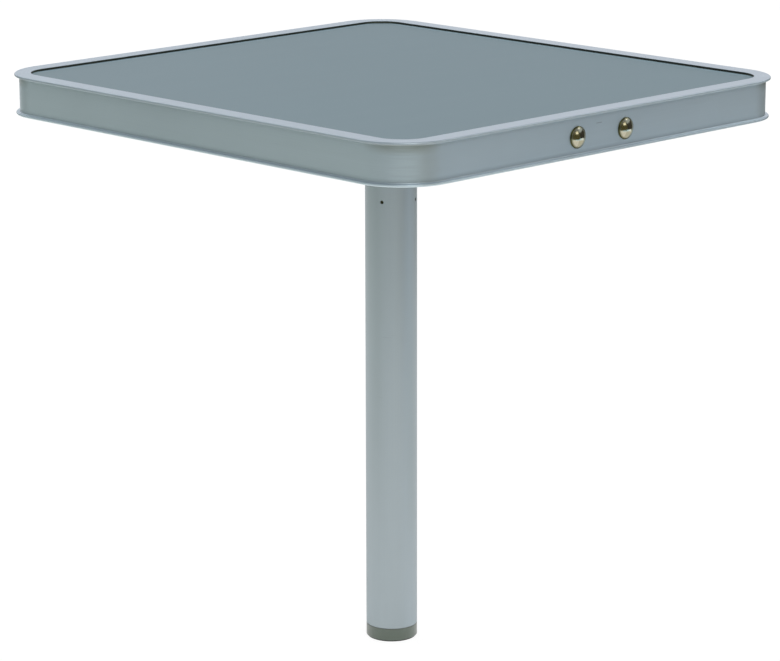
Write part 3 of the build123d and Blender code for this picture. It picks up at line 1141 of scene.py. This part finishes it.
class MakeBush(bpy.types.Operator):
    """Turn the flanged bush in the top of the leg"""

    bl_idname = PREFIX + ".bush"
    bl_label = "Collar bush"

    def execute(self, context):
        s = sizes()
        low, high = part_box("collar_bush")
        leg_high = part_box("leg_tube")[1]
        inner = s.spigot + s.clearance
        sleeve = leg_high.x - s.leg_wall - s.clearance
        profile = rounded(
            [
                (inner, low.z, 0.3 * MM),
                (sleeve, low.z, 0.8 * MM),
                (sleeve, leg_high.z, 0.03 * MM),
                (high.x, leg_high.z, 0.3 * MM),
                (high.x, high.z, 0.4 * MM),
                (inner, high.z, 0.4 * MM),
            ],
            steps=4,
        )
        bush = turned(profile, segments=128, closed=True)
        make_piece("leg_collar_bush", [bush], nylon(), "bush", "collar_bush")
        return {"FINISHED"}


class MakeLeg(bpy.types.Operator):
    """Draw the leg tube, drill its holes and set its screws and guide ring"""

    bl_idname = PREFIX + ".leg"
    bl_label = "Leg"

    def execute(self, context):
        s = sizes()
        low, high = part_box("leg_tube")
        inner, outer, edge = high.x - s.leg_wall, high.x, 0.3 * MM
        below, above = self.screw_height() - 5 * MM, self.screw_height() + 5 * MM
        section = rounded(
            [
                (outer, low.z, edge),
                (outer, below, 0),
                (outer, above, 0),
                (outer, high.z, edge),
                (inner, high.z, edge),
                (inner, above, 0),
                (inner, below, 0),
                (inner, low.z, edge),
            ],
            steps=4,
        )
        tube = turned(section, segments=160, closed=True)
        leg = make_piece("leg_round_tube", [tube], leg_metal(), "leg", "leg_tube")
        drill_r, drill_length, drill_depth = s.screw_radius + 0.03 * MM, 12 * MM, 8 * MM
        bit = [(0, 0), (drill_r, 0), (drill_r, drill_length), (0, drill_length)]
        drill = turned(bit, segments=40)
        cut_holes(leg, [drill.moved(m) for m in self.screw_places(outer - drill_depth)])
        bevel, recess = 0.3 * MM, 0.8 * MM
        screw = socket_head(
            [s.screw_radius, s.screw_radius - bevel],
            [0.0, bevel],
            socket=1.15 * MM,
            depth=1.9 * MM,
            shank_radius=s.screw_radius,
            shank_length=4.6 * MM,
            segments=48,
        )
        screws = [screw.moved(m) for m in self.screw_places(outer - recess - bevel)]
        make_piece("leg_ring_screws", screws, dark_steel(), "leg", "ring_screws")
        dress("guide_ring", nylon())
        dress("foot_insert", nylon())
        return {"FINISHED"}

    def screw_height(self):
        """Height of the screws' axes."""
        low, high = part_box("ring_screws")
        return (low.z + high.z) / 2

    def screw_places(self, radius):
        """Matrices that turn +Z outwards at each screw, at a distance from the axis."""
        made = []
        for quarter in range(4):
            turn = Matrix.Rotation(math.radians(sizes().leg_turn + 90 * quarter), 4, "Z")
            out = Matrix.Translation((radius, 0, self.screw_height()))
            made.append(turn @ out @ Matrix.Rotation(math.pi / 2, 4, "Y"))
        return made


class MakeFoot(bpy.types.Operator):
    """Mould the foot, cut its thread and lay its sole"""

    bl_idname = PREFIX + ".foot"
    bl_label = "Foot"

    def execute(self, context):
        s = sizes()
        low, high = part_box("foot_cap")
        stud_low, stud_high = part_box("foot_stud")
        sole_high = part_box("foot_glide")[1]
        step_r = sole_high.x - s.sole_step
        gap = 0.2 * MM
        recess_r = step_r + gap
        bore = s.sole_boss + s.clearance
        cap = rounded(
            [
                (bore, s.sole_step_height, 0.2 * MM),
                (recess_r, s.sole_step_height, 0.2 * MM),
                (recess_r, low.z, 0.2 * MM),
                (high.x, low.z, 0.5 * MM),
                (high.x, high.z, 0.4 * MM),
                (stud_high.x, high.z, 0.2 * MM),
                (stud_high.x, stud_low.z, 0.1 * MM),
                (bore, stud_low.z, 0.1 * MM),
            ],
            steps=8,
        )
        moulding = turned(cap, segments=128, closed=True)
        make_piece("foot_moulded", [moulding], foot_plastic(), "foot", "foot_cap")
        self.sole(sole_high.x, low.z, step_r, sole_high.z)
        thread = self.thread(stud_high.x, stud_low.z, stud_high.z)
        make_piece("foot_screw", [thread], zinc(), "foot", "foot_stud", sharp_deg=70.0)
        return {"FINISHED"}

    def sole(self, radius, rim_height, step_r, boss_top):
        """Soft sole: a ring tread with two grooves, a step inside the cap and a boss on top."""
        s = sizes()
        hollow_r = radius - s.sole_tread
        width, depth, fine = 0.9 * MM, 0.5 * MM, 0.1 * MM
        corners = [
            (0, s.sole_hollow, 0),
            (hollow_r, s.sole_hollow, 0.2 * MM),
            (hollow_r, 0, 0.3 * MM),
        ]
        for share in (0.3, 0.62):
            groove = hollow_r + s.sole_tread * share
            corners += [
                (groove, 0, fine),
                (groove, depth, fine),
                (groove + width, depth, fine),
                (groove + width, 0, fine),
            ]
        corners += [
            (radius, 0, 0.35 * MM),
            (radius, rim_height, 0.2 * MM),
            (step_r, rim_height, fine),
            (step_r, s.sole_step_height, 0.2 * MM),
            (s.sole_boss, s.sole_step_height, fine),
            (s.sole_boss, boss_top, 0.5 * MM),
            (0, boss_top, 0),
        ]
        profile = rounded(corners, steps=4, support=0.05 * MM, closed=False)
        sole = turned(profile, segments=128)
        make_piece("foot_sole", [sole], sole_rubber(), "glide", "foot_glide")

    def thread(self, radius, low, high):
        """Screw thread: the radius falls and rises once over each pitch of height.

        Round a full turn this shifts up by one pitch. The crest and the root are flat, each
        for a sixth of the pitch. At the top the radius can't pass that of a chamfer at 45
        degrees.
        """
        s = sizes()
        chamfer = 1.5 * MM
        rows = int((high - low) / s.thread_pitch * THREAD_ROWS_PER_TURN)
        angle = full_circle(THREAD_SEGMENTS)
        z = np.linspace(low, high, rows)
        phase = (z[:, None] / s.thread_pitch - angle[None] / (2 * np.pi)) % 1
        depth = np.clip(np.abs(2 * phase - 1) * 1.5 - 0.25, 0, 1) * s.thread_depth
        r = np.minimum(radius - depth, radius - chamfer + (high - z)[:, None])
        height = np.broadcast_to(z[:, None], r.shape)
        points = np.stack([r * np.cos(angle), r * np.sin(angle), height], axis=2)
        return Shell(points, wrap=(False, True), lids=True)


def upright(low, high, radius=1.9):
    """Line of an upright card, between two heights."""
    return [(radius, low), (radius, high)]


def lying(inner, outer, height=0.012):
    """Line of a card that lies just over the floor, between two radii."""
    return [(inner, height), (outer, height)]


# Name, place, width and power of each lamp
LAMPS = (
    ("key", (-1.6, -3.2, 3.4), 1.6, 30.0),
    ("fill", (3.0, -1.4, 2.6), 0.9, 6.0),
    ("rear", (1.5, 3.5, 3.0), 2.0, 22.0),
)

# Lines of the cards that the metal reflects
LOW = upright(0.02, 0.24)
BAND = upright(0.24, 1.1)
MIDDLE = upright(1.1, 1.6)
FAR = upright(0.5, 1.5, 3.4)
NEAR = upright(1.5, 3.0, 3.4)
SKY = [(6.0, 3.2), (5.4, 5.2), (4.0, 6.8), (2.0, 7.6), (0.01, 7.8)]

# Name, first and last angle round the leg in degrees from +X, line and tint of each card
CARDS = (
    ("card_right_end", -22, 30, upright(0.02, 0.16), (0.55, 0.6, 0.58)),
    ("card_right_far", 312, 338, LOW, (0.90, 1.02, 1.14)),
    ("card_right", 272, 312, LOW, (0.63, 0.93, 1.22)),
    ("card_front_right", 235, 272, LOW, (0.80, 0.90, 0.86)),
    ("card_front", 190, 235, LOW, (0.64, 0.73, 0.72)),
    ("card_left", 138, 190, LOW, (0.60, 0.725, 0.675)),
    ("card_left_far", 125, 138, LOW, (0.77, 0.885, 0.835)),
    ("card_left_end", 95, 125, LOW, (0.68, 0.75, 0.68)),
    ("card_floor_right", 298, 350, lying(0.45, 1.85), (0.57, 0.575, 0.54)),
    ("card_floor_left", 120, 180, lying(0.7, 1.85), (0.58, 0.58, 0.56)),
    ("card_band_left", 95, 257, BAND, (0.115, 0.135, 0.125)),
    ("card_band_front", 257, 300, upright(0.13, 1.1, 1.88), (0.075, 0.07, 0.03)),
    ("card_band_right", 300, 338, BAND, (0.03, 0.03, 0.025)),
    ("card_band_end", -22, 10, upright(0.16, 1.1), (0.06, 0.06, 0.045)),
    ("card_middle_left", 95, 250, MIDDLE, (0.4, 0.45, 0.46)),
    ("card_middle_front", 250, 300, MIDDLE, (0.14, 0.14, 0.10)),
    ("card_middle_right", 300, 355, MIDDLE, (0.36, 0.41, 0.45)),
    ("card_glint_warm", 277, 292, upright(0.98, 1.36, 1.86), (1.2, 1.15, 0.95)),
    ("card_glint_white", 311, 320, upright(1.7, 1.95), (3.2, 3.2, 3.2)),
    ("card_back_left_low", 45, 140, FAR, (0.61, 0.565, 0.60)),
    ("card_back_right_low", -50, 45, FAR, (0.89, 0.825, 0.86)),
    ("card_back_left", 45, 140, NEAR, (0.58, 0.59, 0.65)),
    ("card_back_right", -50, 45, NEAR, (0.81, 0.815, 0.885)),
    ("card_sky", 0, 360, SKY, (0.28, 0.3, 0.33)),
)


class MakeStudio(bpy.types.Operator):
    """Set the camera, the floor, the lights and the cards that the metal reflects"""

    bl_idname = PREFIX + ".studio"
    bl_label = "Studio"

    def execute(self, context):
        self.camera(context.scene.camp_table_studio)
        self.floor()
        self.world()
        for lamp in LAMPS:
            self.lamp(*lamp)
        for card in CARDS:
            self.card(*card)
        context.scene.view_settings.view_transform = "Standard"
        return {"FINISHED"}

    def camera(self, s):
        """Camera on a circle round the leg's axis, looking at a point near it."""
        a, e = math.radians(s.azimuth), math.radians(s.elevation)
        back = Vector((math.sin(a) * math.cos(e), -math.cos(a) * math.cos(e), math.sin(e)))
        side = Vector((math.cos(a), math.sin(a), 0))
        data = bpy.data.cameras.new("camera")
        data.lens = s.lens
        data.sensor_width = 36.0
        data.clip_end = 100
        camera = add_object("camera", data)
        camera.location = Vector((0, 0, s.aim_height)) + side * s.aim_side + back * s.distance
        camera.rotation_mode = "QUATERNION"
        turn = (-back).to_track_quat("-Z", "Y").to_matrix()
        roll = Matrix.Rotation(math.radians(s.roll), 3, "Z")
        camera.rotation_quaternion = (turn @ roll).to_quaternion()
        bpy.context.scene.camera = camera

    def floor(self):
        """Floor that glows white for the camera, is plain for other rays and clear from below."""
        mesh = bpy.data.meshes.new("floor")
        half = 30.0
        corners = [(-half, -half, 0), (half, -half, 0), (half, half, 0), (-half, half, 0)]
        mesh.from_pydata(corners, [], [(0, 1, 2, 3)])
        floor = add_object("floor", mesh)
        g = material_graph("floor")
        seen = g.seen_by("Is Camera Ray", "Is Transmission Ray")
        plain = g.out(g.node("BsdfDiffuse", None, {"Color": as_rgba((0.85, 0.85, 0.85))}))
        soft = g.out(g.node("BsdfDiffuse", None, {"Color": as_rgba((0.16, 0.16, 0.16))}))
        glow = g.out(g.node("Emission", None, {"Color": as_rgba((1, 1, 1)), "Strength": 0.9}))
        bright = g.out(g.node("AddShader", None, {0: soft, 1: glow}))
        above = g.out(g.node("MixShader", None, {0: seen, 1: plain, 2: bright}))
        beneath = g.out(g.node("NewGeometry"), "Backfacing")
        clear = g.out(g.node("BsdfTransparent"))
        both = g.out(g.node("MixShader", None, {0: beneath, 1: above, 2: clear}))
        mesh.materials.append(g.surface(both))

    def world(self):
        """White for the camera and for reflections, a plain light level for the rest."""
        g = Graph(bpy.data.worlds.new("studio_world"))
        seen = g.seen_by("Is Camera Ray", "Is Glossy Ray", "Is Transmission Ray")
        level = g.out(g.node("MapRange", None, {"Value": seen, "To Min": 0.72, "To Max": 1.0}))
        light = g.node("Background", None, {"Color": as_rgba((1, 1, 1)), "Strength": level})
        bpy.context.scene.world = g.surface(g.out(light), "World")

    def lamp(self, name, place, width, power):
        """Square lamp that looks at the middle of the table."""
        data = bpy.data.lights.new(name, "AREA")
        data.shape = "SQUARE"
        data.size = width
        data.energy = power
        lamp = add_object(name, data)
        lamp.location = place
        aim = Vector((0, 0, 0.5)) - Vector(place)
        lamp.rotation_mode = "QUATERNION"
        lamp.rotation_quaternion = aim.to_track_quat("-Z", "Y")

    def card(self, name, first_deg, last_deg, line, tint):
        """Card that only reflections see: a line of radii and heights swept round the table."""
        shell = Shell(swept(line, np.radians(np.linspace(first_deg, last_deg, CARD_POINTS))))
        mesh = bpy.data.meshes.new(name)
        mesh.from_pydata(shell.points.reshape(-1, 3).tolist(), [], shell.faces().tolist())
        card = add_object(name, mesh)
        g = material_graph(name)
        glow = g.node("Emission", None, {"Color": as_rgba(tint), "Strength": 1.0})
        mesh.materials.append(g.surface(g.out(glow)))
        for ray in ("camera", "diffuse", "shadow", "transmission", "volume_scatter"):
            setattr(card, "visible_" + ray, False)


OPERATORS = (
    MakeStudio,
    MakeRail,
    MakePanel,
    MakeBearers,
    MakeDomes,
    MakeSeamRivets,
    MakeFlange,
    MakeBush,
    MakeLeg,
    MakeFoot,
)


class TablePanel(bpy.types.Panel):
    """Sidebar panel with the table's steps and settings"""

    bl_idname = "CAMP_TABLE_PT_panel"
    bl_label = "Camping table"
    bl_space_type = "VIEW_3D"
    bl_region_type = "UI"
    bl_category = "Camping table"

    def draw(self, context):
        for operator in OPERATORS:
            self.layout.operator(operator.bl_idname)
        for group in ("camp_table_sizes", "camp_table_colours", "camp_table_studio"):
            settings = getattr(context.scene, group)
            box = self.layout.box()
            for name in settings.bl_rna.properties.keys():
                if name not in ("rna_type", "name"):
                    box.prop(settings, name)


CLASSES = (TableSizes, TableColours, StudioSettings, *OPERATORS, TablePanel)


def register():
    """Register the classes and hang the settings on the scene."""
    for cls in CLASSES:
        bpy.utils.register_class(cls)
    bpy.types.Scene.camp_table_sizes = PointerProperty(type=TableSizes)
    bpy.types.Scene.camp_table_colours = PointerProperty(type=TableColours)
    bpy.types.Scene.camp_table_studio = PointerProperty(type=StudioSettings)


def unregister():
    """Take the settings and the classes away again."""
    del bpy.types.Scene.camp_table_studio
    del bpy.types.Scene.camp_table_colours
    del bpy.types.Scene.camp_table_sizes
    for cls in reversed(CLASSES):
        bpy.utils.unregister_class(cls)


def main():
    """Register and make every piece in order."""
    register()
    for operator in OPERATORS:
        group, name = operator.bl_idname.split(".")
        getattr(getattr(bpy.ops, group), name)()


if __name__ == "__main__":
    main()
